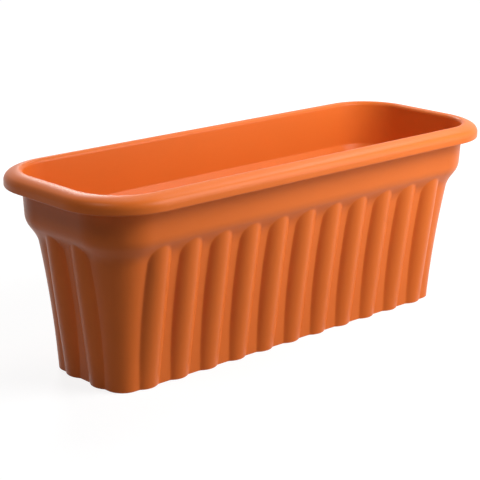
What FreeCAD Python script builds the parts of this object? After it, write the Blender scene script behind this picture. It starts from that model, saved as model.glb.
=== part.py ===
import FreeCAD, Part
import math
import os
import Sketcher

# A ribbed window box planter: one thin moulded trough with a rolled rim, pillar ribs all round,
# a raised floor on a grid of bars, and a push-in stopper in each drain hole.
# Millimetres. +Z is up, X runs along the box, and the origin is in the middle of its footprint.
#
# Every level of the wall is the same core rectangle grown by an offset, so the corners open out
# as the wall leans out. Lengths that end in _out are such offsets, counted from the core.

SIZES = [
    # the whole box
    ("length", 600.0, "over the rim"),
    ("width", 222.6, "over the rim"),
    ("height", 221.0, "ground to the top of the rim"),
    ("wall", 2.4, "thickness of the wall, the ribs and the rim"),
    # the leaning wall
    ("base_corner", 20.0, "corner radius at the ground"),
    ("wall_height", 141.0, "ground to the foot of the shoulder"),
    ("wall_run", 17.3, "how far the wall leans out over that height"),
    ("wall_bow", 1268.0, "radius of the wall's slight hollow"),
    # the shoulder
    ("shoulder_run", 14.5, "how far the shoulder steps out"),
    ("shoulder_slope", 35.0, "steepest lean of the shoulder, degrees from upright"),
    ("cove_radius", 34.0, "hollow at the foot of the shoulder"),
    ("brow_radius", 22.0, "rounding at the top of the shoulder"),
    # the plain band and the rolled rim
    ("band_draft", 3.2, "lean of the band, degrees from upright"),
    ("rim_overhang", 17.7, "how far the rim stands out beyond the band"),
    ("rim_crown", 30.0, "radius of the rim's gently rounded top"),
    ("rim_tilt", 10.0, "fall of that top beside the inner edge, degrees from level"),
    ("rim_edge", 5.0, "rounding of the rim's inner edge"),
    ("rim_nose", 9.0, "rounding of the rim's outer edge"),
    ("rim_fillet", 3.0, "rounding where the band meets the rim"),
    ("lip_drop", 17.0, "top of the rim to the lower edge of its lip"),
    # the pillar ribs
    ("rib_radius", 19.5, "radius of a rib"),
    ("rib_stand", 4.3, "how far a rib stands out at the ground"),
    ("rib_reach", 0.69, "how much of the shoulder the ribs' crests run up, as a share"),
    ("rib_pitch", 41.8, "from rib to rib"),
    # the floor
    ("floor_lift", 4.0, "ground to the underside of the floor"),
    ("floor_thickness", 2.4, "thickness of the floor"),
    ("bar_width", 3.0, "width of the bars under the floor"),
    ("bay_columns", 3, "bays along the floor, one drain hole in each"),
    ("bay_rows", 2, "bays across the floor"),
    ("drain_radius", 8.0, "radius of a drain hole"),
    ("collar_wall", 2.0, "thickness of the collar round a drain hole"),
    ("collar_gap", 1.2, "ground to the collar's lower edge"),
    # the stoppers
    ("stopper_clearance", 0.1, "between a stopper's shank and its hole"),
    ("stopper_cover", 4.0, "how far a stopper's flange covers the floor round its hole"),
    ("flange_thickness", 2.0, "thickness of a stopper's flange"),
    ("shank_wall", 1.8, "wall of a stopper's hollow shank"),
    ("shank_lead", 0.6, "chamfer that guides the shank into its hole"),
    ("grip_height", 13.0, "top of the flange to the top of the grip"),
    ("grip_width", 12.0, "width of the grip"),
    ("grip_thickness", 3.0, "thickness of the grip"),
]

# What follows from the sizes. A formula may use the sizes and the formulas above it.
FORMULAS = [
    ("overrun", "4 * dims.wall"),
    # the wall's bow: its centre, and how far it leans where the shoulder starts
    ("chord", "sqrt(dims.wall_run ^ 2 + dims.wall_height ^ 2)"),
    ("bow_arm", "sqrt(dims.wall_bow ^ 2 - layout.chord ^ 2 / 4) / layout.chord"),
    ("bow_out", "dims.base_corner + dims.wall_run / 2 + dims.wall_height * layout.bow_arm"),
    ("bow_level", "dims.wall_height / 2 - dims.wall_run * layout.bow_arm"),
    ("top_sine", "(dims.wall_height - layout.bow_level) / dims.wall_bow"),
    # the shoulder: a cove, a straight and a brow
    ("cove_run", "dims.cove_radius * (sqrt(1 - layout.top_sine ^ 2) - cos(dims.shoulder_slope))"),
    ("cove_rise", "dims.cove_radius * (sin(dims.shoulder_slope) - layout.top_sine)"),
    ("brow_run", "dims.brow_radius * (cos(dims.band_draft) - cos(dims.shoulder_slope))"),
    ("brow_rise", "dims.brow_radius * (sin(dims.shoulder_slope) - sin(dims.band_draft))"),
    ("straight_run", "dims.shoulder_run - layout.cove_run - layout.brow_run"),
    ("straight_rise", "layout.straight_run / tan(dims.shoulder_slope)"),
    ("shoulder_rise", "layout.cove_rise + layout.straight_rise + layout.brow_rise"),
    # the band, the rim and the core that they leave
    ("band_out", "dims.base_corner + dims.wall_run + dims.shoulder_run"),
    ("band_foot", "dims.wall_height + layout.shoulder_rise"),
    ("band_lean", "(dims.height - layout.band_foot) * tan(dims.band_draft)"),
    ("rim_out", "layout.band_out + layout.band_lean + dims.rim_overhang"),
    ("edge_level", "dims.height - dims.rim_edge"),
    ("edge_lean", "(layout.edge_level - layout.band_foot) * tan(dims.band_draft)"),
    ("edge_side", "(dims.rim_edge - dims.wall) / cos(dims.band_draft)"),
    ("summit_out", "layout.band_out + layout.edge_lean + layout.edge_side"),
    ("crown_out", "layout.summit_out - (dims.rim_crown - dims.rim_edge) * sin(dims.rim_tilt)"),
    ("core_x", "dims.length / 2 - layout.rim_out"),
    ("core_y", "dims.width / 2 - layout.rim_out"),
    ("seam_out", "dims.base_corner * 0.3"),
    ("block_out", "dims.base_corner * 0.6"),
    # the ribs: each crest runs straight from the ground into the shoulder
    ("rib_run", "dims.wall_run + dims.shoulder_run * dims.rib_reach - dims.rib_stand"),
    ("rib_rise", "dims.wall_height + layout.shoulder_rise * dims.rib_reach"),
    ("rib_lean", "atan(layout.rib_run / layout.rib_rise) / 1deg"),
    ("rib_out", "dims.base_corner + dims.rib_stand - dims.rib_radius / cos(layout.rib_lean)"),
    ("rib_start", "layout.rib_out - layout.overrun * tan(layout.rib_lean)"),
    ("rib_length", "(layout.band_foot + layout.overrun) / cos(layout.rib_lean)"),
    ("rib_half", "sqrt(2 * dims.rib_radius * dims.rib_stand - dims.rib_stand ^ 2)"),
    ("side_ribs", "floor(2 * (layout.core_x - layout.rib_half) / dims.rib_pitch) + 1"),
    ("end_ribs", "floor(2 * (layout.core_y - layout.rib_half) / dims.rib_pitch) + 1"),
    # the floor
    ("floor_top", "dims.floor_lift + dims.floor_thickness"),
    ("floor_x", "layout.core_x + dims.base_corner - dims.wall"),
    ("floor_y", "layout.core_y + dims.base_corner - dims.wall"),
    ("bay_x", "2 * layout.floor_x / dims.bay_columns"),
    ("bay_y", "2 * layout.floor_y / dims.bay_rows"),
    ("collar_radius", "dims.drain_radius + dims.collar_wall"),
    # the stoppers
    ("shank_radius", "dims.drain_radius - dims.stopper_clearance"),
    ("shank_length", "layout.floor_top - dims.collar_gap"),
    ("hollow_radius", "layout.shank_radius - dims.shank_wall"),
    ("flange_radius", "dims.drain_radius + dims.stopper_cover"),
    ("flange_edge", "dims.flange_thickness / 2"),
]

doc = FreeCAD.newDocument("window_box")


# ---------------------------------------------------------------- sizes
def make_sizes():
    """The sheet of driving sizes, and the lengths that follow from them."""
    sheet = doc.addObject("Spreadsheet::Sheet", "dims")
    for row, (name, size, note) in enumerate(SIZES, start=1):
        sheet.set(f"A{row}", name)
        sheet.set(f"B{row}", str(size))
        sheet.setAlias(f"B{row}", name)
        sheet.set(f"C{row}", note)
    follow = doc.addObject("App::VarSet", "layout")
    for name, formula in FORMULAS:
        follow.addProperty("App::PropertyFloat", name)
        follow.setExpression(name, formula)
    doc.recompute()
    return sheet, follow


dims, layout = make_sizes()


# ---------------------------------------------------------------- sketches
CENTRE = 3  # an arc's or circle's centre, where a point of a piece is asked for


def toward(angle):
    """One step in a direction, in degrees from a sketch's X axis."""
    turn = math.radians(angle)
    return FreeCAD.Vector(math.cos(turn), math.sin(turn), 0)


def origin_part(body, role):
    """A plane or axis of a body's own origin."""
    return next(part for part in body.Origin.OriginFeatures if part.Role == role)


class Drawing:
    """A sketch whose pieces are walked in order and whose sizes follow formulas.

    A piece is (its number, the point where it starts, the point where it ends)."""

    def __init__(self, body, name, plane):
        self.sketch = body.newObject("Sketcher::SketchObject", name)
        self.sketch.AttachmentSupport = [(origin_part(body, plane), "")]
        self.sketch.MapMode = "FlatFace"

    def line(self, start, end):
        return self.sketch.addGeometry(Part.LineSegment(start, end)), 1, 2

    def arc(self, centre, radius, start, end):
        """An arc from one angle to another, in degrees."""
        circle = Part.Circle(centre, FreeCAD.Vector(0, 0, 1), radius)
        low, high = sorted((math.radians(start), math.radians(end)))
        number = self.sketch.addGeometry(Part.ArcOfCircle(circle, low, high))
        return (number, 1, 2) if start < end else (number, 2, 1)

    def circle(self, centre, radius):
        circle = Part.Circle(centre, FreeCAD.Vector(0, 0, 1), radius)
        return self.sketch.addGeometry(circle), CENTRE, CENTRE

    def start(self, piece):
        return self.sketch.getPoint(piece[0], piece[1])

    def end(self, piece):
        return self.sketch.getPoint(piece[0], piece[2])

    def join(self, kind, *pieces):
        """Each piece ends where the next one starts: Tangent for a smooth join, else Coincident."""
        for before, after in zip(pieces, pieces[1:]):
            joint = Sketcher.Constraint(kind, before[0], before[2], after[0], after[1])
            self.sketch.addConstraint(joint)

    def rule(self, kind, *pieces):
        for piece in pieces:
            self.sketch.addConstraint(Sketcher.Constraint(kind, piece[0]))

    def centre_on(self, piece, other):
        """One arc has the other's centre."""
        self.sketch.addConstraint(Sketcher.Constraint("Coincident", piece[0], CENTRE, other[0], CENTRE))

    def bind(self, constraint, formula):
        number = self.sketch.addConstraint(constraint)
        self.sketch.setExpression(f"Constraints[{number}]", formula)

    def radius(self, piece, formula):
        size = self.sketch.Geometry[piece[0]].Radius
        self.bind(Sketcher.Constraint("Radius", piece[0], size), formula)

    def angle(self, piece, formula):
        """The direction of a line, in degrees from the X axis."""
        way = self.end(piece) - self.start(piece)
        size = math.atan2(way.y, way.x)
        self.bind(Sketcher.Constraint("Angle", piece[0], size), f"({formula}) * 1deg")

    def across(self, piece, point, formula):
        """The X of one point of a piece, from the sketch's origin."""
        size = self.sketch.getPoint(piece[0], point).x
        self.bind(Sketcher.Constraint("DistanceX", -1, 1, piece[0], point, size), formula)

    def level(self, piece, point, formula):
        """The Y of one point of a piece, from the sketch's origin."""
        size = self.sketch.getPoint(piece[0], point).y
        self.bind(Sketcher.Constraint("DistanceY", -1, 1, piece[0], point, size), formula)


def rounded_rectangle(body, name, offset):
    """The core rectangle grown by an offset, from the middle of its +Y side round to there."""
    drawing = Drawing(body, name, "XY_Plane")
    grown = layout.evalExpression(offset)
    across, up = layout.core_x, layout.core_y
    spots = [(-across, up, 90), (-across, -up, 180), (across, -up, 270), (across, up, 0)]
    corners = [drawing.arc(FreeCAD.Vector(x, y), grown, turn, turn + 90) for x, y, turn in spots]
    middle = FreeCAD.Vector(0, up + grown)
    first = drawing.line(middle, drawing.start(corners[0]))
    last = drawing.line(drawing.end(corners[3]), middle)
    walk = [first]
    for corner, following in zip(corners, corners[1:]):
        walk += [corner, drawing.line(drawing.end(corner), drawing.start(following))]
    walk += [corners[3], last]
    drawing.join("Tangent", *walk)
    drawing.join("Coincident", last, first)
    drawing.rule("Horizontal", walk[0], walk[4], walk[8])
    drawing.rule("Vertical", walk[2], walk[6])
    for corner in corners:
        drawing.radius(corner, offset)
    drawing.across(first, 1, "0")
    drawing.level(first, 1, f"layout.core_y + {offset}")
    drawing.across(corners[0], CENTRE, "-layout.core_x")
    drawing.across(corners[3], CENTRE, "layout.core_x")
    drawing.level(corners[1], CENTRE, "-layout.core_y")
    return drawing.sketch


def draw_wall(drawing, inset):
    """The wall from below the ground to the foot of the band, set in from the outside face.

    Walked upwards: the bowed wall, the cove, the shoulder's straight and the brow."""
    inside = layout.evalExpression(inset)
    slope, draft = dims.shoulder_slope, dims.band_draft
    lean = math.degrees(math.asin(layout.top_sine))
    bow = dims.wall_bow + inside
    below = math.degrees(math.asin((-layout.overrun - layout.bow_level) / bow))
    bow_centre = FreeCAD.Vector(layout.core_y + layout.bow_out, layout.bow_level)
    wall = drawing.arc(bow_centre, bow, 180 - below, 180 - lean)
    cove_centre = bow_centre + toward(180 - lean) * (dims.wall_bow - dims.cove_radius)
    cove = drawing.arc(cove_centre, dims.cove_radius + inside, 180 - lean, 180 - slope)
    band_start = FreeCAD.Vector(layout.core_y + layout.band_out, layout.band_foot)
    brow_centre = band_start - toward(-draft) * dims.brow_radius
    brow = drawing.arc(brow_centre, dims.brow_radius - inside, -slope, -draft)
    straight = drawing.line(drawing.end(cove), drawing.start(brow))
    drawing.join("Tangent", wall, cove, straight, brow)
    drawing.across(wall, CENTRE, "layout.core_y + layout.bow_out")
    drawing.level(wall, CENTRE, "layout.bow_level")
    drawing.radius(wall, f"dims.wall_bow + {inset}")
    drawing.level(wall, wall[1], "-layout.overrun")
    drawing.level(wall, wall[2], f"layout.bow_level + layout.top_sine * (dims.wall_bow + {inset})")
    drawing.radius(cove, f"dims.cove_radius + {inset}")
    drawing.radius(brow, f"dims.brow_radius - {inset}")
    return wall, brow


def draw_band(drawing, brow, inset, end):
    """The band, from the brow to a given end."""
    band = drawing.line(drawing.end(brow), end)
    drawing.join("Tangent", brow, band)
    drawing.across(band, 1, f"layout.core_y + layout.band_out - {inset} * cos(dims.band_draft)")
    drawing.level(band, 1, f"layout.band_foot + {inset} * sin(dims.band_draft)")
    drawing.angle(band, "90 - dims.band_draft")
    return band


def close_section(drawing, wall, top):
    """Runs from the end of the top line down the seam, then out to the wall's lower end."""
    seam = layout.core_y + layout.seam_out
    corner = FreeCAD.Vector(seam, -layout.overrun)
    down = drawing.line(drawing.end(top), corner)
    bottom = drawing.line(corner, drawing.start(wall))
    drawing.join("Coincident", top, down, bottom, wall)
    drawing.rule("Horizontal", top)
    drawing.rule("Vertical", down)
    drawing.across(down, 1, "layout.core_y + layout.seam_out")
    drawing.level(down, 2, "-layout.overrun")


def outer_section(body):
    """Half of the box cut across: the outside face, the rolled rim over its channel, and the top."""
    drawing = Drawing(body, "outer_section", "YZ_Plane")
    wall, brow = draw_wall(drawing, "0")
    draft, fillet = dims.band_draft, dims.rim_fillet
    summit = FreeCAD.Vector(layout.core_y + layout.summit_out, layout.edge_level)
    crown_centre = summit - toward(90 - dims.rim_tilt) * (dims.rim_crown - dims.rim_edge)
    outer = layout.core_y + layout.rim_out
    # the nose lies inside the crown's circle, and touches it where the crown ends
    nose_arm = dims.rim_crown - dims.rim_nose
    turn_in = math.degrees(math.acos((outer - dims.rim_nose - crown_centre.x) / nose_arm))
    nose_centre = crown_centre + toward(turn_in) * nose_arm
    # the fillet under the rim lies against both the band and the underside of the crown
    beside_band = drawing.end(brow) + toward(-draft) * fillet
    fillet_arm = dims.rim_crown - dims.wall - fillet
    up_band = toward(90 - draft)
    back = (beside_band - crown_centre).dot(up_band)
    apart = (beside_band - crown_centre).Length
    climb = math.sqrt(back ** 2 - apart ** 2 + fillet_arm ** 2) - back
    fillet_centre = beside_band + up_band * climb
    across = fillet_centre - crown_centre
    turn_out = math.degrees(math.atan2(across.y, across.x))

    band = draw_band(drawing, brow, "0", fillet_centre - toward(-draft) * fillet)
    turn = drawing.arc(fillet_centre, fillet, 180 - draft, turn_out)
    under = drawing.arc(crown_centre, dims.rim_crown - dims.wall, turn_out, turn_in)
    inner_nose = drawing.arc(nose_centre, dims.rim_nose - dims.wall, turn_in, 0)
    lip_centre = FreeCAD.Vector(outer - dims.wall / 2, dims.height - dims.lip_drop + dims.wall / 2)
    lip_edge = drawing.arc(lip_centre, dims.wall / 2, 180, 360)
    lip_in = drawing.line(drawing.end(inner_nose), drawing.start(lip_edge))
    nose = drawing.arc(nose_centre, dims.rim_nose, 0, turn_in)
    lip_out = drawing.line(drawing.end(lip_edge), drawing.start(nose))
    crown = drawing.arc(crown_centre, dims.rim_crown, turn_in, 90 - dims.rim_tilt)
    edge = drawing.arc(summit, dims.rim_edge, 90 - dims.rim_tilt, 90)
    top = drawing.line(drawing.end(edge), FreeCAD.Vector(layout.core_y + layout.seam_out, dims.height))

    drawing.join("Tangent", band, turn, under, inner_nose, lip_in, lip_edge, lip_out, nose, crown, edge, top)
    drawing.radius(turn, "dims.rim_fillet")
    drawing.centre_on(under, crown)
    drawing.centre_on(inner_nose, nose)
    drawing.radius(inner_nose, "dims.rim_nose - dims.wall")
    drawing.radius(nose, "dims.rim_nose")
    drawing.radius(crown, "dims.rim_crown")
    drawing.radius(edge, "dims.rim_edge")
    drawing.rule("Vertical", lip_in, lip_out)
    drawing.level(lip_edge, CENTRE, "dims.height - dims.lip_drop + dims.wall / 2")
    drawing.across(lip_out, 1, "layout.core_y + layout.rim_out")
    drawing.across(crown, CENTRE, "layout.core_y + layout.crown_out")
    drawing.across(edge, CENTRE, "layout.core_y + layout.summit_out")
    drawing.level(top, 1, "dims.height")
    close_section(drawing, wall, top)
    return drawing.sketch


def inner_section(body):
    """Half of the hollow cut across: the inside face, and the mouth that the rim's edge rounds off."""
    drawing = Drawing(body, "inner_section", "YZ_Plane")
    wall, brow = draw_wall(drawing, "dims.wall")
    summit = FreeCAD.Vector(layout.core_y + layout.summit_out, layout.edge_level)
    edge = drawing.arc(summit, dims.rim_edge, 180 - dims.band_draft, 90)
    band = draw_band(drawing, brow, "dims.wall", drawing.start(edge))
    above = FreeCAD.Vector(summit.x, dims.height + layout.overrun)
    mouth = drawing.line(drawing.end(edge), above)
    top = drawing.line(above, FreeCAD.Vector(layout.core_y + layout.seam_out, above.y))
    drawing.join("Tangent", band, edge)
    drawing.join("Coincident", edge, mouth, top)
    drawing.radius(edge, "dims.rim_edge")
    drawing.level(edge, CENTRE, "layout.edge_level")
    drawing.rule("Vertical", mouth)
    drawing.across(mouth, 1, "layout.core_y + layout.summit_out")
    drawing.level(mouth, 2, "dims.height + layout.overrun")
    close_section(drawing, wall, top)
    return drawing.sketch


# ---------------------------------------------------------------- the trough
def sweep_round(body, section):
    """Carries a section round the box, along the wall's foot."""
    path = rounded_rectangle(body, body.Name + "_path", "dims.base_corner")
    sweep = body.newObject("PartDesign::AdditivePipe", body.Name + "_sweep")
    sweep.Profile = section
    sweep.Spine = path
    return sweep


def add_block(body, top):
    """Fills the middle of the box, inside the seam that the swept section leaves open."""
    outline = rounded_rectangle(body, body.Name + "_core", "layout.block_out")
    outline.setExpression("AttachmentOffset.Base.z", "-layout.overrun")
    block = body.newObject("PartDesign::Pad", body.Name + "_block")
    block.Profile = outline
    block.setExpression("Length", f"{top} + layout.overrun")


def add_ribs(body, side, radius):
    """A row of leaning round pillars along one side, and its mirror image on the opposite side."""
    along_x = side == "side"
    drawing = Drawing(body, f"{body.Name}_{side}_rib", "XY_Plane")
    pillar = drawing.circle(FreeCAD.Vector(0, 0), layout.evalExpression(radius))
    drawing.radius(pillar, radius)
    drawing.across(pillar, CENTRE, "0")
    drawing.level(pillar, CENTRE, "0")
    hinge = FreeCAD.Vector(-1, 0, 0) if along_x else FreeCAD.Vector(0, 1, 0)
    lean = FreeCAD.Rotation(hinge, layout.rib_lean)
    drawing.sketch.AttachmentOffset = FreeCAD.Placement(FreeCAD.Vector(0, 0, 0), lean)
    row, outwards = ("x", "y") if along_x else ("y", "x")
    count = f"layout.{side}_ribs"
    seat = {
        row: f"-({count} - 1) / 2 * dims.rib_pitch",
        outwards: f"layout.core_{outwards} + layout.rib_start",
        "z": "-layout.overrun",
    }
    for axis, formula in seat.items():
        drawing.sketch.setExpression(f"AttachmentOffset.Base.{axis}", formula)
    drawing.sketch.setExpression("AttachmentOffset.Rotation.Angle", "layout.rib_lean * 1deg")
    rib = body.newObject("PartDesign::Pad", f"{body.Name}_{side}_pillar")
    rib.Profile = drawing.sketch
    rib.setExpression("Length", "layout.rib_length")

    spread = body.newObject("PartDesign::MultiTransform", f"{body.Name}_{side}_ribs")
    spread.Originals = [rib]
    pattern = body.newObject("PartDesign::LinearPattern", f"{body.Name}_{side}_row")
    pattern.Direction = (origin_part(body, row.upper() + "_Axis"), [""])
    pattern.setExpression("Length", f"({count} - 1) * dims.rib_pitch")
    pattern.setExpression("Occurrences", count)
    mirror = body.newObject("PartDesign::Mirrored", f"{body.Name}_{side}_mirror")
    mirror.MirrorPlane = (origin_part(body, "XZ_Plane" if along_x else "YZ_Plane"), [""])
    spread.Transformations = [pattern, mirror]
    body.Tip = spread


def outside_form():
    """The box as if it were solid, with its ribs, cut level at the ground."""
    body = doc.addObject("PartDesign::Body", "outside")
    sweep_round(body, outer_section(body))
    add_block(body, "dims.height")
    add_ribs(body, "side", "dims.rib_radius")
    add_ribs(body, "end", "dims.rib_radius")
    below = body.newObject("PartDesign::Pocket", "outside_ground")
    below.Profile = rounded_rectangle(body, "outside_footprint", "layout.rim_out")
    below.setExpression("Length", "2 * layout.overrun")
    body.Tip = below
    return body


def inside_form():
    """The hollow of the box, with the backs of the ribs, running on past the floor and the rim."""
    body = doc.addObject("PartDesign::Body", "inside")
    sweep_round(body, inner_section(body))
    add_block(body, "dims.height + layout.overrun")
    add_ribs(body, "side", "dims.rib_radius - dims.wall")
    add_ribs(body, "end", "dims.rib_radius - dims.wall")
    return body


def box(name, sizes, corner):
    """A box from the formulas of its three sizes and of its low corner."""
    made = doc.addObject("Part::Box", name)
    for side, formula in zip(("Length", "Width", "Height"), sizes):
        made.setExpression(side, formula)
    for axis, formula in zip("xyz", corner):
        made.setExpression(f"Placement.Base.{axis}", formula)
    return made


def upright_cylinder(name, radius, height, foot):
    """A cylinder from the formulas of its radius, its height and the centre of its foot."""
    made = doc.addObject("Part::Cylinder", name)
    made.setExpression("Radius", radius)
    made.setExpression("Height", height)
    for axis, formula in zip("xyz", foot):
        made.setExpression(f"Placement.Base.{axis}", formula)
    return made


def drain_spots():
    """The formulas for the middle of each bay, row by row."""
    for row in range(int(dims.bay_rows)):
        for column in range(int(dims.bay_columns)):
            across = f"({column} - (dims.bay_columns - 1) / 2) * layout.bay_x"
            up = f"({row} - (dims.bay_rows - 1) / 2) * layout.bay_y"
            yield across, up


def floor_form():
    """The floor plate, the bars under it and the collars, with the drain holes through them."""
    wide, deep = "2 * layout.rim_out + 2 * layout.core_x", "2 * layout.rim_out + 2 * layout.core_y"
    left, front = "-layout.rim_out - layout.core_x", "-layout.rim_out - layout.core_y"
    solids = [box("floor_plate", (wide, deep, "dims.floor_thickness"), (left, front, "dims.floor_lift"))]
    under = ("layout.overrun + layout.floor_top", "-layout.overrun")
    for column in range(1, int(dims.bay_columns)):
        start = f"({column} - dims.bay_columns / 2) * layout.bay_x - dims.bar_width / 2"
        solids.append(box(f"cross_bar_{column}", ("dims.bar_width", deep, under[0]), (start, front, under[1])))
    for row in range(1, int(dims.bay_rows)):
        start = f"({row} - dims.bay_rows / 2) * layout.bay_y - dims.bar_width / 2"
        solids.append(box(f"long_bar_{row}", (wide, "dims.bar_width", under[0]), (left, start, under[1])))
    holes = []
    for number, (across, up) in enumerate(drain_spots(), start=1):
        foot = (across, up, "dims.collar_gap")
        height = "layout.floor_top - dims.collar_gap"
        solids.append(upright_cylinder(f"collar_{number}", "layout.collar_radius", height, foot))
        through = (across, up, "-layout.overrun")
        height = "2 * layout.overrun + layout.floor_top"
        holes.append(upright_cylinder(f"drain_hole_{number}", "dims.drain_radius", height, through))
    plate = doc.addObject("Part::MultiFuse", "floor_solid")
    plate.Shapes = solids
    drains = doc.addObject("Part::MultiFuse", "drain_holes")
    drains.Shapes = holes
    return cut("floor_form", plate, drains)


def cut(name, base, tool):
    made = doc.addObject("Part::Cut", name)
    made.Base = base
    made.Tool = tool
    return made


def make_trough():
    """The one moulding: rim, band, shoulder, ribbed wall, floor and the skirt that it stands on."""
    hollow = cut("hollow", inside_form(), floor_form())
    trough = cut("trough", outside_form(), hollow)
    trough.Refine = True
    return trough


# ---------------------------------------------------------------- the stoppers
def shank_and_flange(body):
    """The stopper's round part, as half a section. Level 0 is the underside of its flange."""
    drawing = Drawing(body, body.Name + "_section", "XZ_Plane")
    radius, edge, thick = layout.flange_radius, layout.flange_edge, dims.flange_thickness
    shank, hollow, length = layout.shank_radius, layout.hollow_radius, layout.shank_length
    top = drawing.line(FreeCAD.Vector(0, thick), FreeCAD.Vector(radius - edge, thick))
    rounding = drawing.arc(FreeCAD.Vector(radius - edge, thick - edge), edge, 90, 0)
    corners = [
        ("layout.flange_radius", "0", radius, 0),
        ("layout.shank_radius", "0", shank, 0),
        ("layout.shank_radius", "dims.shank_lead - layout.shank_length", shank, dims.shank_lead - length),
        ("layout.shank_radius - dims.shank_lead", "-layout.shank_length", shank - dims.shank_lead, -length),
        ("layout.hollow_radius", "-layout.shank_length", hollow, -length),
        ("layout.hollow_radius", "0", hollow, 0),
        ("0", "0", 0, 0),
    ]
    walk = [drawing.line(drawing.end(rounding), FreeCAD.Vector(radius, 0))]
    for (_, _, x, y), (_, _, next_x, next_y) in zip(corners, corners[1:]):
        walk.append(drawing.line(FreeCAD.Vector(x, y), FreeCAD.Vector(next_x, next_y)))
    walk.append(drawing.line(FreeCAD.Vector(0, 0), FreeCAD.Vector(0, thick)))
    drawing.join("Tangent", top, rounding, walk[0])
    drawing.join("Coincident", *walk, top)
    drawing.rule("Horizontal", top)
    drawing.rule("Vertical", walk[0])
    drawing.radius(rounding, "layout.flange_edge")
    drawing.across(top, 1, "0")
    drawing.level(top, 1, "dims.flange_thickness")
    for piece, (across, up, _, _) in zip(walk, corners):
        drawing.across(piece, 2, across)
        drawing.level(piece, 2, up)
    turned = body.newObject("PartDesign::Revolution", body.Name + "_turned")
    turned.Profile = drawing.sketch
    turned.ReferenceAxis = (drawing.sketch, ["V_Axis"])
    turned.Angle = 360


def grip(body):
    """The upright tab that a hand pulls the stopper out by, with a round top."""
    drawing = Drawing(body, body.Name + "_grip", "XZ_Plane")
    half, rise = dims.grip_width / 2, dims.flange_thickness + dims.grip_height
    foot = layout.flange_edge
    head = drawing.arc(FreeCAD.Vector(0, rise - half), half, 0, 180)
    left = drawing.line(drawing.end(head), FreeCAD.Vector(-half, foot))
    bottom = drawing.line(drawing.end(left), FreeCAD.Vector(half, foot))
    right = drawing.line(drawing.end(bottom), drawing.start(head))
    drawing.join("Tangent", right, head, left)
    drawing.join("Coincident", left, bottom, right)
    drawing.rule("Vertical", left, right)
    drawing.rule("Horizontal", bottom)
    drawing.radius(head, "dims.grip_width / 2")
    drawing.across(head, CENTRE, "0")
    drawing.level(head, CENTRE, "dims.flange_thickness + dims.grip_height - dims.grip_width / 2")
    drawing.level(bottom, 1, "layout.flange_edge")
    tab = body.newObject("PartDesign::Pad", body.Name + "_tab")
    tab.Profile = drawing.sketch
    tab.Midplane = True
    tab.setExpression("Length", "dims.grip_thickness")
    body.Tip = tab


def make_stopper(name, across, up):
    """One stopper, seated in a drain hole with its flange on the floor."""
    body = doc.addObject("PartDesign::Body", name)
    shank_and_flange(body)
    grip(body)
    for axis, formula in zip("xyz", (across, up, "layout.floor_top")):
        body.setExpression(f"Placement.Base.{axis}", formula)
    return body


# ---------------------------------------------------------------- build, check and write
pieces = [make_trough()]
for number, (across, up) in enumerate(drain_spots(), start=1):
    pieces.append(make_stopper(f"drain_stopper_{number}", across, up))
doc.recompute()

for item in doc.Objects:
    if "Invalid" in item.State or "Error" in item.State:
        raise RuntimeError(f"{item.Label} did not build: {item.State}")
for piece in pieces:
    if piece.Shape.isNull() or not piece.Shape.isValid() or len(piece.Shape.Solids) != 1:
        raise RuntimeError(f"{piece.Label} is not one valid solid")

os.makedirs("parts", exist_ok=True)
for piece in pieces:
    piece.Shape.exportStep(f"parts/{piece.Label}.step")
    print(piece.Label, "volume", round(piece.Shape.Volume), "size", piece.Shape.BoundBox)
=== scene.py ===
import math

import bmesh
import bpy
from mathutils import Matrix, Vector
from mathutils.geometry import tessellate_polygon


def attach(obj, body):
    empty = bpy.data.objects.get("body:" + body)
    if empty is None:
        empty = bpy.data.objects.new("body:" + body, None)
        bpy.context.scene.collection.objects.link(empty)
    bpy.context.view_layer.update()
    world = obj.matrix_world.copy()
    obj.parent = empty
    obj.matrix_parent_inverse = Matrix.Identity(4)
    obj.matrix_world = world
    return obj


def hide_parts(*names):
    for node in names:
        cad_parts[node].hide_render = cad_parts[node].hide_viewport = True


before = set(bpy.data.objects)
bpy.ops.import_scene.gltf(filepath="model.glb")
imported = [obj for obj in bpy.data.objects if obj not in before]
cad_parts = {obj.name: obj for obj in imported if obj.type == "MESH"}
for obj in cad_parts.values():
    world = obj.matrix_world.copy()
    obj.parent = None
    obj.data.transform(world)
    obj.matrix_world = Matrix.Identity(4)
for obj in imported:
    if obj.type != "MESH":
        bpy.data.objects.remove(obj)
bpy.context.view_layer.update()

# A terracotta window box in soft studio light. The trough is one fine mesh: a section that is
# carried round the box, with the pillar ribs blended into its wall. The drain stoppers are the
# CAD model's own. Shapes are worked out in millimetres, as in the CAD model, and placed in metres.

MM = 0.001

# ---------------------------------------------------------------- sizes, as in the CAD model
LENGTH, WIDTH, HEIGHT = 600.0, 222.6, 221.0
WALL = 2.4
BASE_CORNER = 20.0
WALL_HEIGHT, WALL_RUN, WALL_BOW = 141.0, 17.3, 1268.0
SHOULDER_RUN, SHOULDER_SLOPE = 14.5, 35.0
COVE, BROW = 34.0, 22.0
BAND_DRAFT = 3.2
RIM_OVERHANG = 17.7
RIM_CROWN, RIM_TILT = 30.0, 10.0
RIM_EDGE, RIM_NOSE, RIM_FILLET = 5.0, 9.0, 3.0
LIP_DROP = 17.0
RIB_RADIUS, RIB_STAND, RIB_PITCH = 19.5, 4.3, 41.8
RIB_REACH = 0.69
SIDE_RIBS, END_RIBS = 11, 2
FLOOR_LIFT, FLOOR_THICKNESS = 4.0, 2.4
BAR_WIDTH = 3.0
BAY_COLUMNS, BAY_ROWS = 3, 2
DRAIN_RADIUS, COLLAR_WALL, COLLAR_GAP = 8.0, 2.0, 1.2

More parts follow.
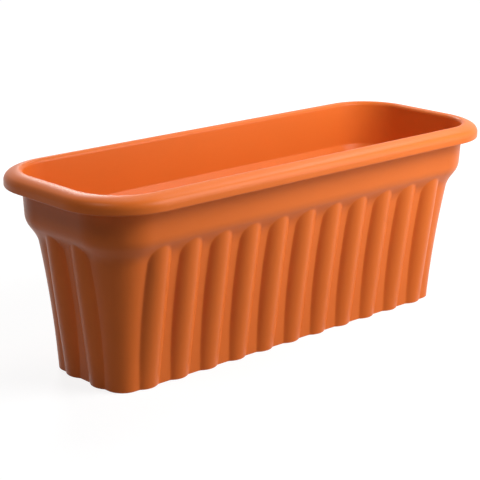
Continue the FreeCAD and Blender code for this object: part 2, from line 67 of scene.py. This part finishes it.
# soft edges that the moulding has on top of those
RIB_BLEND = 1.0  # how near the rib and the wall are where they start to run together
INNER_BROW = 5.0  # radius of the crease inside, where the shoulder meets the band
FLOOR_FILLET = 3.0
FOOT_EDGE = 0.5
BAR_EDGE = 0.4

# how finely the mesh is cut
CORNER_STEPS = 20
COARSE_LEVELS, FINE_LEVELS = 16, 8  # of the wall; the fine ones are a millimetre apart, at its top
COVE_STEPS, BROW_STEPS, SHOULDER_STEPS = 16, 12, 8
FILLET_STEPS = 6
CORNER_GAP = 0.2  # no column comes nearer to the start of a corner
STEP_ASIDE = [0, 2, 4, 6, 8, 9.5, 10.7, 11.7, 12.6, 13.4, 14.2, 15, 15.8, 16.6, 17.5, 18.8, 20.9]
CIRCLE_STEPS = 48
COLLAR_SETBACK = 0.02  # keeps a collar's bore off the drain hole's own faces
SHARP_ANGLE = 35  # an edge that turns by more than this is shaded sharp


def sine(angle):
    return math.sin(math.radians(angle))


def cosine(angle):
    return math.cos(math.radians(angle))


def tangent(angle):
    return math.tan(math.radians(angle))


def toward(angle, length=1.0):
    """A step in the section's plane: (further out, higher), for an angle from straight out."""
    return Vector((cosine(angle), sine(angle))) * length


# ---------------------------------------------------------------- the section
# A point of the section is (offset out from the core rectangle, level).
CHORD = math.hypot(WALL_RUN, WALL_HEIGHT)
BOW_ARM = math.sqrt(WALL_BOW ** 2 - CHORD ** 2 / 4) / CHORD
BOW_CENTRE = Vector((
    BASE_CORNER + WALL_RUN / 2 + WALL_HEIGHT * BOW_ARM,
    WALL_HEIGHT / 2 - WALL_RUN * BOW_ARM,
))
TOP_LEAN = math.degrees(math.asin((WALL_HEIGHT - BOW_CENTRE.y) / WALL_BOW))
COVE_CENTRE = BOW_CENTRE + toward(180 - TOP_LEAN, WALL_BOW - COVE)
COVE_RUN = COVE * (cosine(TOP_LEAN) - cosine(SHOULDER_SLOPE))
COVE_RISE = COVE * (sine(SHOULDER_SLOPE) - sine(TOP_LEAN))
BROW_RUN = BROW * (cosine(BAND_DRAFT) - cosine(SHOULDER_SLOPE))
BROW_RISE = BROW * (sine(SHOULDER_SLOPE) - sine(BAND_DRAFT))
STRAIGHT_RISE = (SHOULDER_RUN - COVE_RUN - BROW_RUN) / tangent(SHOULDER_SLOPE)
SHOULDER_RISE = COVE_RISE + STRAIGHT_RISE + BROW_RISE
BAND_FOOT = Vector((BASE_CORNER + WALL_RUN + SHOULDER_RUN, WALL_HEIGHT + SHOULDER_RISE))
RIM_OUT = BAND_FOOT.x + (HEIGHT - BAND_FOOT.y) * tangent(BAND_DRAFT) + RIM_OVERHANG
EDGE_LEVEL = HEIGHT - RIM_EDGE
EDGE_CENTRE = Vector((
    BAND_FOOT.x + (EDGE_LEVEL - BAND_FOOT.y) * tangent(BAND_DRAFT)
    + (RIM_EDGE - WALL) / cosine(BAND_DRAFT),
    EDGE_LEVEL,
))
CORE_X = LENGTH / 2 - RIM_OUT
CORE_Y = WIDTH / 2 - RIM_OUT

# the leaning pillar ribs
RIB_LEAN = math.degrees(math.atan(
    (WALL_RUN + SHOULDER_RUN * RIB_REACH - RIB_STAND) / (WALL_HEIGHT + SHOULDER_RISE * RIB_REACH)
))
RIB_OUT = BASE_CORNER + RIB_STAND - RIB_RADIUS / cosine(RIB_LEAN)
FLOOR_TOP = FLOOR_LIFT + FLOOR_THICKNESS


def arc(centre, radius, start, end, steps):
    """Points along an arc of the section, both ends included."""
    return [centre + toward(start + (end - start) * n / steps, radius) for n in range(steps + 1)]


def bowed(level, inset):
    """The offset of the bowed wall at a level, on a face set in by inset."""
    rise = level - BOW_CENTRE.y
    return BOW_CENTRE.x - math.sqrt((WALL_BOW + inset) ** 2 - rise ** 2)


def brow_points(inset, radius):
    """The bend from the shoulder into the band, on a face set in by inset."""
    slip = (BROW - inset - radius) * tangent((SHOULDER_SLOPE - BAND_DRAFT) / 2)
    band_foot = BAND_FOOT - toward(-BAND_DRAFT, inset) - toward(90 - BAND_DRAFT, slip)
    return arc(band_foot - toward(-BAND_DRAFT, radius), radius, -SHOULDER_SLOPE, -BAND_DRAFT, BROW_STEPS)


def wall_points(inset, lowest):
    """One face of the wall, from a lowest level up to the foot of the band."""
    top = BOW_CENTRE.y + (WALL_BOW + inset) * sine(TOP_LEAN)
    coarse_top = top - FINE_LEVELS
    levels = [lowest + (coarse_top - lowest) * n / COARSE_LEVELS for n in range(COARSE_LEVELS)]
    levels += [coarse_top + n for n in range(FINE_LEVELS)]
    points = [Vector((bowed(level, inset), level)) for level in levels]
    cove = arc(COVE_CENTRE, COVE + inset, 180 - TOP_LEAN, 180 - SHOULDER_SLOPE, COVE_STEPS)
    brow = brow_points(inset, INNER_BROW if inset else BROW)
    straight = [cove[-1].lerp(brow[0], n / SHOULDER_STEPS) for n in range(1, SHOULDER_STEPS)]
    return points + cove + straight + brow


def rim_points():
    """The rolled rim, from the top of the band out, round its lip and over to the inner edge."""
    crown_centre = EDGE_CENTRE - toward(90 - RIM_TILT, RIM_CROWN - RIM_EDGE)
    # the nose lies inside the crown's circle, and touches it where the crown ends
    nose_arm = RIM_CROWN - RIM_NOSE
    turn_in = math.degrees(math.acos((RIM_OUT - RIM_NOSE - crown_centre.x) / nose_arm))
    nose_centre = crown_centre + toward(turn_in, nose_arm)
    # the fillet lies against both the band and the underside of the crown
    beside_band = BAND_FOOT + toward(-BAND_DRAFT, RIM_FILLET) - crown_centre
    back = beside_band.dot(toward(90 - BAND_DRAFT))
    fillet_arm = RIM_CROWN - WALL - RIM_FILLET
    climb = math.sqrt(back ** 2 - beside_band.length ** 2 + fillet_arm ** 2) - back
    across = beside_band + toward(90 - BAND_DRAFT, climb)
    turn_out = math.degrees(math.atan2(across.y, across.x))
    lip_centre = Vector((RIM_OUT - WALL / 2, HEIGHT - LIP_DROP + WALL / 2))

    fillet = arc(crown_centre + across, RIM_FILLET, 180 - BAND_DRAFT, turn_out, 6)
    under = arc(crown_centre, RIM_CROWN - WALL, turn_out, turn_in, 6)
    inner_nose = arc(nose_centre, RIM_NOSE - WALL, turn_in, 0, 8)
    lip = arc(lip_centre, WALL / 2, 180, 360, 10)
    nose = arc(nose_centre, RIM_NOSE, 0, turn_in, 12)
    crown = arc(crown_centre, RIM_CROWN, turn_in, 90 - RIM_TILT, 8)
    edge = arc(EDGE_CENTRE, RIM_EDGE, 90 - RIM_TILT, 180 - BAND_DRAFT, 14)
    return fillet + under[1:] + inner_nose[1:] + lip + nose + crown[1:] + edge[1:]


# ---------------------------------------------------------------- the way round the box
def side_stops(half, ribs):
    """Stops along one side, as (distance from its middle, distance from the nearest rib)."""
    centres = [(n - (ribs - 1) / 2) * RIB_PITCH for n in range(ribs)]
    stops = {(-half, half + centres[0]), (half, half + centres[0])}
    for centre in centres:
        for aside in STEP_ASIDE:
            for place in (centre - aside, centre + aside):
                if abs(place) < half - CORNER_GAP:
                    stops.add((round(place, 4), aside))
    return sorted(stops)


def way_round():
    """Columns round the box: (point of the core, direction out, distance from the nearest rib)."""
    columns = []
    sides = [(CORE_X, CORE_Y, SIDE_RIBS), (CORE_Y, CORE_X, END_RIBS)]
    for turn in range(4):
        half, depth, ribs = sides[turn % 2]
        along = Vector((cosine(90 * turn), sine(90 * turn)))
        out = Vector((sine(90 * turn), -cosine(90 * turn)))
        for place, aside in side_stops(half, ribs):
            columns.append((along * place + out * depth, out, aside))
        corner = along * half + out * depth
        for n in range(1, CORNER_STEPS):
            angle = 90 * (turn - 1) + 90 * n / CORNER_STEPS
            columns.append((corner, Vector((cosine(angle), sine(angle))), RIB_RADIUS))
    return columns


def with_rib(out, level, aside, radius):
    """The offset of a face where a rib of that radius may stand: the two faces run together."""
    if aside >= radius:
        return out
    rib = RIB_OUT + level * tangent(RIB_LEAN) + math.sqrt(radius ** 2 - aside ** 2) / cosine(RIB_LEAN)
    near = max(RIB_BLEND - abs(out - rib), 0) / RIB_BLEND
    return max(out, rib) + near ** 2 * RIB_BLEND / 4


def ring(columns, out, level, rib=0.0, draw_in=0.0, lift=0.0):
    """One loop of points round the box, at an offset and a level of the section."""
    points = []
    for core, outwards, aside in columns:
        reach = with_rib(out, level, aside, rib) - draw_in
        flat = core + outwards * reach
        points.append(Vector((flat.x, flat.y, level + lift)))
    return points


def shell_rings(columns):
    """The moulding's skin as loops, from the floor's underside round the foot and rim to its top."""
    outside, inside = RIB_RADIUS, RIB_RADIUS - WALL
    inner_foot, outer_foot = bowed(0, WALL), bowed(0, 0)
    rings = [
        ring(columns, bowed(FLOOR_LIFT, WALL), FLOOR_LIFT, inside),
        ring(columns, bowed(FOOT_EDGE, WALL), FOOT_EDGE, inside),
        ring(columns, inner_foot, 0, inside, draw_in=-FOOT_EDGE),
        ring(columns, outer_foot, 0, outside, draw_in=FOOT_EDGE),
    ]
    rings += [ring(columns, *point, outside) for point in wall_points(0, FOOT_EDGE)]
    rings += [ring(columns, *point) for point in rim_points()]
    fillet_level = FLOOR_TOP + FLOOR_FILLET
    rings += [ring(columns, *point, inside) for point in reversed(wall_points(WALL, fillet_level))]
    for n in range(1, FILLET_STEPS + 1):
        turn = 90 * n / FILLET_STEPS
        draw_in, drop = FLOOR_FILLET * (1 - cosine(turn)), FLOOR_FILLET * sine(turn)
        rings.append(ring(columns, bowed(fillet_level, WALL), fillet_level, inside, draw_in, -drop))
    return rings


# ---------------------------------------------------------------- mesh tools
def circle(x, y, z, radius):
    turns = [360 * n / CIRCLE_STEPS for n in range(CIRCLE_STEPS)]
    return [Vector((x + radius * cosine(turn), y + radius * sine(turn), z)) for turn in turns]


def add_loop(mesh, points):
    return [mesh.verts.new(point * MM) for point in points]


def bridge(mesh, lower, upper):
    """A band of four-sided faces between two loops with as many points."""
    for n in range(len(lower)):
        m = (n + 1) % len(lower)
        mesh.faces.new((lower[n], lower[m], upper[m], upper[n]))


def cap(mesh, outline, holes):
    """A flat face inside an outline, with round holes left in it."""
    loops = [outline, *holes]
    corners = [vert for loop in loops for vert in loop]
    for triangle in tessellate_polygon([[vert.co for vert in loop] for loop in loops]):
        mesh.faces.new([corners[n] for n in triangle])


def add_turned(mesh, x, y, section):
    """A closed ring: a section of (radius, level) points turned about an upright axis."""
    loops = [add_loop(mesh, circle(x, y, level, radius)) for radius, level in section]
    for loop, following in zip(loops, loops[1:] + loops[:1]):
        bridge(mesh, loop, following)


def add_bar(mesh, low, high, edge):
    """A straight bar between two corners, with its edges taken off."""
    made = bmesh.ops.create_cube(mesh, size=1.0)
    size, middle = Vector(high) - Vector(low), (Vector(high) + Vector(low)) / 2
    for vert in made["verts"]:
        vert.co = Vector(c * s + m for c, s, m in zip(vert.co, size, middle)) * MM
    edges = {one for vert in made["verts"] for one in vert.link_edges}
    bmesh.ops.bevel(mesh, geom=list(edges), offset=edge * MM, segments=2, affect="EDGES", profile=0.5)


def finish_mesh(mesh, name, material):
    bmesh.ops.recalc_face_normals(mesh, faces=mesh.faces)
    data = bpy.data.meshes.new(name)
    mesh.to_mesh(data)
    mesh.free()
    data.shade_smooth()
    data.set_sharp_from_angle(angle=math.radians(SHARP_ANGLE))
    data.materials.append(material)
    piece = bpy.data.objects.new(name, data)
    bpy.context.scene.collection.objects.link(piece)
    return piece


# ---------------------------------------------------------------- materials
class Shader:
    """The nodes of a material or world, written as calls that return what they put out."""

    def __init__(self, owner):
        self.owner = owner
        owner.use_nodes = True
        self.tree = owner.node_tree
        self.tree.nodes.clear()
        kind = "World" if isinstance(owner, bpy.types.World) else "Material"
        self.output = self.node(f"ShaderNodeOutput{kind}")
        self.place = self.node("ShaderNodeTexCoord").outputs["Object"]

    def node(self, kind, settings=None, **inputs):
        made = self.tree.nodes.new(kind)
        for key, value in (settings or {}).items():
            setattr(made, key, value)
        for key, value in inputs.items():
            self.feed(made.inputs[key.replace("_", " ")], value)
        return made

    def feed(self, socket, value):
        """Links what another node puts out to a socket, or sets the socket to a plain value."""
        if isinstance(value, bpy.types.NodeSocket):
            self.tree.links.new(value, socket)
        else:
            socket.default_value = value

    def noise(self, scale, detail=2.0, roughness=0.5):
        made = self.node(
            "ShaderNodeTexNoise", Vector=self.place, Scale=scale, Detail=detail, Roughness=roughness
        )
        return made.outputs["Fac"]

    def ramp(self, value, low, high, to_low, to_high):
        """Maps a value from one range to another, and holds it there."""
        made = self.node(
            "ShaderNodeMapRange", Value=value, From_Min=low, From_Max=high, To_Min=to_low, To_Max=to_high
        )
        return made.outputs["Result"]

    def blend(self, factor, first, second):
        made = self.tree.nodes.new("ShaderNodeMix")
        made.data_type = "RGBA"
        # a colour mix takes its factor at socket 0 and its colours at 6 and 7, and gives socket 2
        self.feed(made.inputs[0], factor)
        self.feed(made.inputs[6], first)
        self.feed(made.inputs[7], second)
        return made.outputs[2]

    def bump(self, height, distance, strength, normal=None):
        inputs = {"Height": height, "Distance": distance, "Strength": strength}
        if normal:
            inputs["Normal"] = normal
        return self.node("ShaderNodeBump", **inputs).outputs["Normal"]

    def surface(self, shader):
        self.tree.links.new(shader, self.output.inputs["Surface"])
        return self.owner


# how fine each pattern is, about as many to the metre
FLOW_SCALE, WAVE_SCALE, MOTTLE_SCALE, GRAIN_SCALE = 7.0, 16.0, 260.0, 1900.0
WAVE_HEIGHT, GRAIN_HEIGHT = 0.0004, 0.00002


def moulded_plastic(name, colour, dark, roughness, specular=0.5):
    """Injection-moulded plastic: faint flow marks, slow waves, a fine grain and an uneven gloss."""
    shader = Shader(bpy.data.materials.new(name))
    flow = shader.noise(FLOW_SCALE, detail=3.0, roughness=0.55)
    mottle = shader.noise(MOTTLE_SCALE)
    grain = shader.noise(GRAIN_SCALE, detail=1.0)
    colour_mix = shader.blend(shader.ramp(flow, 0.35, 0.65, 0.0, 0.5), colour, dark)
    speckle = shader.blend(shader.ramp(mottle, 0.4, 0.75, 0.0, 0.12), colour_mix, dark)
    rough = shader.ramp(mottle, 0.3, 0.7, roughness - 0.01, roughness + 0.02)
    wave = shader.bump(shader.noise(WAVE_SCALE, detail=1.0), WAVE_HEIGHT, 0.35)
    skin = shader.bump(grain, GRAIN_HEIGHT, 0.15, wave)
    plastic = shader.node(
        "ShaderNodeBsdfPrincipled",
        Base_Color=speckle,
        Roughness=rough,
        Normal=skin,
        Specular_IOR_Level=specular,
    )
    return shader.surface(plastic.outputs["BSDF"])


TERRACOTTA = (0.77, 0.168, 0.025, 1)
TERRACOTTA_DARK = (0.72, 0.151, 0.021, 1)
STOPPER = (0.10, 0.028, 0.014, 1)
STOPPER_DARK = (0.07, 0.02, 0.011, 1)
TERRACOTTA_ROUGHNESS, STOPPER_ROUGHNESS = 0.35, 0.42
TERRACOTTA_SPECULAR = 0.15  # low, because the white all round shows in every reflection

terracotta = moulded_plastic(
    "terracotta_plastic", TERRACOTTA, TERRACOTTA_DARK, TERRACOTTA_ROUGHNESS, TERRACOTTA_SPECULAR
)
stopper_plastic = moulded_plastic("stopper_plastic", STOPPER, STOPPER_DARK, STOPPER_ROUGHNESS)


# ---------------------------------------------------------------- the trough
def drain_places():
    """The middles of the bays, as in the CAD model."""
    wide = 2 * (CORE_X + BASE_CORNER - WALL) / BAY_COLUMNS
    deep = 2 * (CORE_Y + BASE_CORNER - WALL) / BAY_ROWS
    for row in range(BAY_ROWS):
        for column in range(BAY_COLUMNS):
            yield (column - (BAY_COLUMNS - 1) / 2) * wide, (row - (BAY_ROWS - 1) / 2) * deep


def make_trough():
    mesh = bmesh.new()
    columns = way_round()
    loops = [add_loop(mesh, points) for points in shell_rings(columns)]
    for lower, upper in zip(loops, loops[1:]):
        bridge(mesh, lower, upper)
    places = list(drain_places())
    under = [add_loop(mesh, circle(x, y, FLOOR_LIFT, DRAIN_RADIUS)) for x, y in places]
    over = [add_loop(mesh, circle(x, y, FLOOR_TOP, DRAIN_RADIUS)) for x, y in places]
    cap(mesh, loops[0], under)
    cap(mesh, loops[-1], over)
    for low, high in zip(under, over):
        bridge(mesh, low, high)
    add_collars(mesh, places)
    add_bars(mesh)
    return finish_mesh(mesh, "trough_moulding", terracotta)


def add_collars(mesh, places):
    """The short collars that carry each stopper's shank below the floor."""
    inner, outer, edge = DRAIN_RADIUS, DRAIN_RADIUS + COLLAR_WALL, BAR_EDGE
    bore = inner + COLLAR_SETBACK
    top = FLOOR_LIFT + FLOOR_THICKNESS / 2
    section = [
        (bore, top), (bore, COLLAR_GAP + edge), (inner + edge, COLLAR_GAP),
        (outer - edge, COLLAR_GAP), (outer, COLLAR_GAP + edge), (outer, top),
    ]
    for x, y in places:
        add_turned(mesh, x, y, section)


def add_bars(mesh):
    """The bars under the floor that stand on the ground between the bays."""
    top = FLOOR_LIFT + FLOOR_THICKNESS / 2
    sunk = WALL / 2
    wide = 2 * (CORE_X + BASE_CORNER - WALL) / BAY_COLUMNS
    deep = 2 * (CORE_Y + BASE_CORNER - WALL) / BAY_ROWS
    for column in range(1, BAY_COLUMNS):
        x = (column - BAY_COLUMNS / 2) * wide
        aside = abs(x - RIB_PITCH * round(x / RIB_PITCH))
        reach = CORE_Y + with_rib(bowed(0, WALL), 0, aside, RIB_RADIUS - WALL) + sunk
        add_bar(mesh, (x - BAR_WIDTH / 2, -reach, 0), (x + BAR_WIDTH / 2, reach, top), BAR_EDGE)
    for row in range(1, BAY_ROWS):
        y = (row - BAY_ROWS / 2) * deep
        reach = CORE_X + bowed(0, WALL) + sunk
        add_bar(mesh, (-reach, y - BAR_WIDTH / 2, 0), (reach, y + BAR_WIDTH / 2, top), BAR_EDGE)


trough = make_trough()
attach(trough, "trough")
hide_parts("trough")

for name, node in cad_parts.items():
    if name.startswith("drain_stopper"):
        node.material_slots[0].material = stopper_plastic


# ---------------------------------------------------------------- camera
FOCAL_LENGTH, SENSOR_WIDTH = 112.05, 36.0
CAMERA_AZIMUTH, CAMERA_ELEVATION, CAMERA_ROLL = -43.091, 16.453, 0.502
CAMERA_DISTANCE = 1688.6
CAMERA_TARGET = Vector((-25.9, 0.0, 111.3))


def look_from(azimuth, elevation):
    """The direction from the object to a viewer or a lamp. Azimuth 0 is in front, 90 to the right."""
    return Vector((sine(azimuth) * cosine(elevation), -cosine(azimuth) * cosine(elevation), sine(elevation)))


def make_camera():
    data = bpy.data.cameras.new("camera")
    data.sensor_width = SENSOR_WIDTH
    data.lens = FOCAL_LENGTH
    data.clip_start, data.clip_end = 0.05, 50.0
    camera = bpy.data.objects.new("camera", data)
    back = look_from(CAMERA_AZIMUTH, CAMERA_ELEVATION)
    right = Vector((0, 0, 1)).cross(back).normalized()
    up = back.cross(right)
    roll = CAMERA_ROLL
    turned_right = right * cosine(roll) + up * sine(roll)
    turned_up = up * cosine(roll) - right * sine(roll)
    place = Matrix((turned_right, turned_up, back)).transposed().to_4x4()
    place.translation = (CAMERA_TARGET + back * CAMERA_DISTANCE) * MM
    camera.matrix_world = place
    bpy.context.scene.collection.objects.link(camera)
    bpy.context.scene.camera = camera


make_camera()


# ---------------------------------------------------------------- light and ground
WHITE = (1, 1, 1, 1)
SKY_LIGHT = 0.01
LAMP_AIM = Vector((0, 0, 0.12))
# what the ground throws back on the object, and what the camera sees of it
GROUND_COLOUR, GROUND_COLOUR_2 = (0.34, 0.34, 0.34, 1), (0.32, 0.32, 0.325, 1)
GROUND_SEEN = (0.22, 0.22, 0.22, 1)
# what the camera sees is lifted towards white, less near the object, where its shadow shows
GLOW_NEAR, GLOW_FAR = 0.84, 1.0
GLOW_STARTS, GLOW_ENDS = 0.45, 1.2
GROUND_HALF, GROUND_LEVEL = 6.0, -0.0003


def soft_light(name, azimuth, elevation, distance, size, power):
    """A soft box, turned to the middle of the trough."""
    data = bpy.data.lights.new(name, "AREA")
    data.shape = "RECTANGLE"
    data.size, data.size_y = size
    data.energy = power
    lamp = bpy.data.objects.new(name, data)
    away = look_from(azimuth, elevation)
    lamp.location = LAMP_AIM + away * distance
    lamp.rotation_mode = "QUATERNION"
    lamp.rotation_quaternion = away.to_track_quat("Z", "Y")
    bpy.context.scene.collection.objects.link(lamp)


soft_light("key", 29, 40, 1.1, (0.75, 0.5), 10.5)
soft_light("low_front", 38, 12, 1.1, (0.45, 0.45), 3.4)
soft_light("low_side", 60, 12, 2.0, (0.8, 0.8), 2.6)
soft_light("right", 97, 48, 2.0, (0.5, 0.5), 6.0)
soft_light("back", 157, 38, 2.0, (0.5, 0.5), 16.0)
soft_light("over", 143, 72, 2.0, (0.5, 0.5), 4.0)
soft_light("left", -82, 52, 2.0, (0.6, 0.6), 7.5)


def seen_straight(shader):
    """1 for what is seen, straight on, in gloss or through glass, and 0 for what lights the object."""
    path = shader.node("ShaderNodeLightPath").outputs
    seen = shader.node("ShaderNodeMath", {"operation": "MAXIMUM"})
    seen_all = shader.node("ShaderNodeMath", {"operation": "MAXIMUM"})
    shader.tree.links.new(path["Is Camera Ray"], seen.inputs[0])
    shader.tree.links.new(path["Is Glossy Ray"], seen.inputs[1])
    shader.tree.links.new(seen.outputs[0], seen_all.inputs[0])
    shader.tree.links.new(path["Is Transmission Ray"], seen_all.inputs[1])
    return seen_all.outputs[0]


def mix_shaders(shader, factor, first, second):
    mix = shader.tree.nodes.new("ShaderNodeMixShader")
    for socket, value in zip(mix.inputs, (factor, first, second)):
        shader.feed(socket, value)
    return mix.outputs[0]


def make_ground():
    """A pale floor that takes the trough's shadow. What the camera sees of it is lifted to white."""
    shader = Shader(bpy.data.materials.new("pale_floor"))
    pale = shader.blend(shader.ramp(shader.noise(3.0), 0.3, 0.7, 0.0, 1.0), GROUND_COLOUR, GROUND_COLOUR_2)
    matte = shader.node("ShaderNodeBsdfDiffuse", Color=pale).outputs[0]
    seen = shader.node("ShaderNodeBsdfDiffuse", Color=GROUND_SEEN).outputs[0]
    away = shader.node("ShaderNodeVectorMath", {"operation": "LENGTH"}, Vector=shader.place).outputs["Value"]
    strength = shader.ramp(away, GLOW_STARTS, GLOW_ENDS, GLOW_NEAR, GLOW_FAR)
    glow = shader.node("ShaderNodeEmission", Color=WHITE, Strength=strength).outputs[0]
    lifted = shader.node("ShaderNodeAddShader")
    shader.feed(lifted.inputs[0], seen)
    shader.feed(lifted.inputs[1], glow)
    shader.surface(mix_shaders(shader, seen_straight(shader), matte, lifted.outputs[0]))
    mesh = bmesh.new()
    ways = ((-1, -1), (1, -1), (1, 1), (-1, 1))
    corners = [mesh.verts.new((x * GROUND_HALF, y * GROUND_HALF, GROUND_LEVEL)) for x, y in ways]
    mesh.faces.new(corners)
    finish_mesh(mesh, "floor", shader.owner)


def make_world():
    """An even soft light all round, which the camera sees as white."""
    shader = Shader(bpy.data.worlds.new("studio"))
    light = shader.node("ShaderNodeBackground", Color=WHITE, Strength=SKY_LIGHT).outputs[0]
    white = shader.node("ShaderNodeBackground", Color=WHITE, Strength=1.0).outputs[0]
    shader.surface(mix_shaders(shader, seen_straight(shader), light, white))
    bpy.context.scene.world = shader.owner


make_ground()
make_world()
bpy.context.scene.view_settings.view_transform = "Standard"
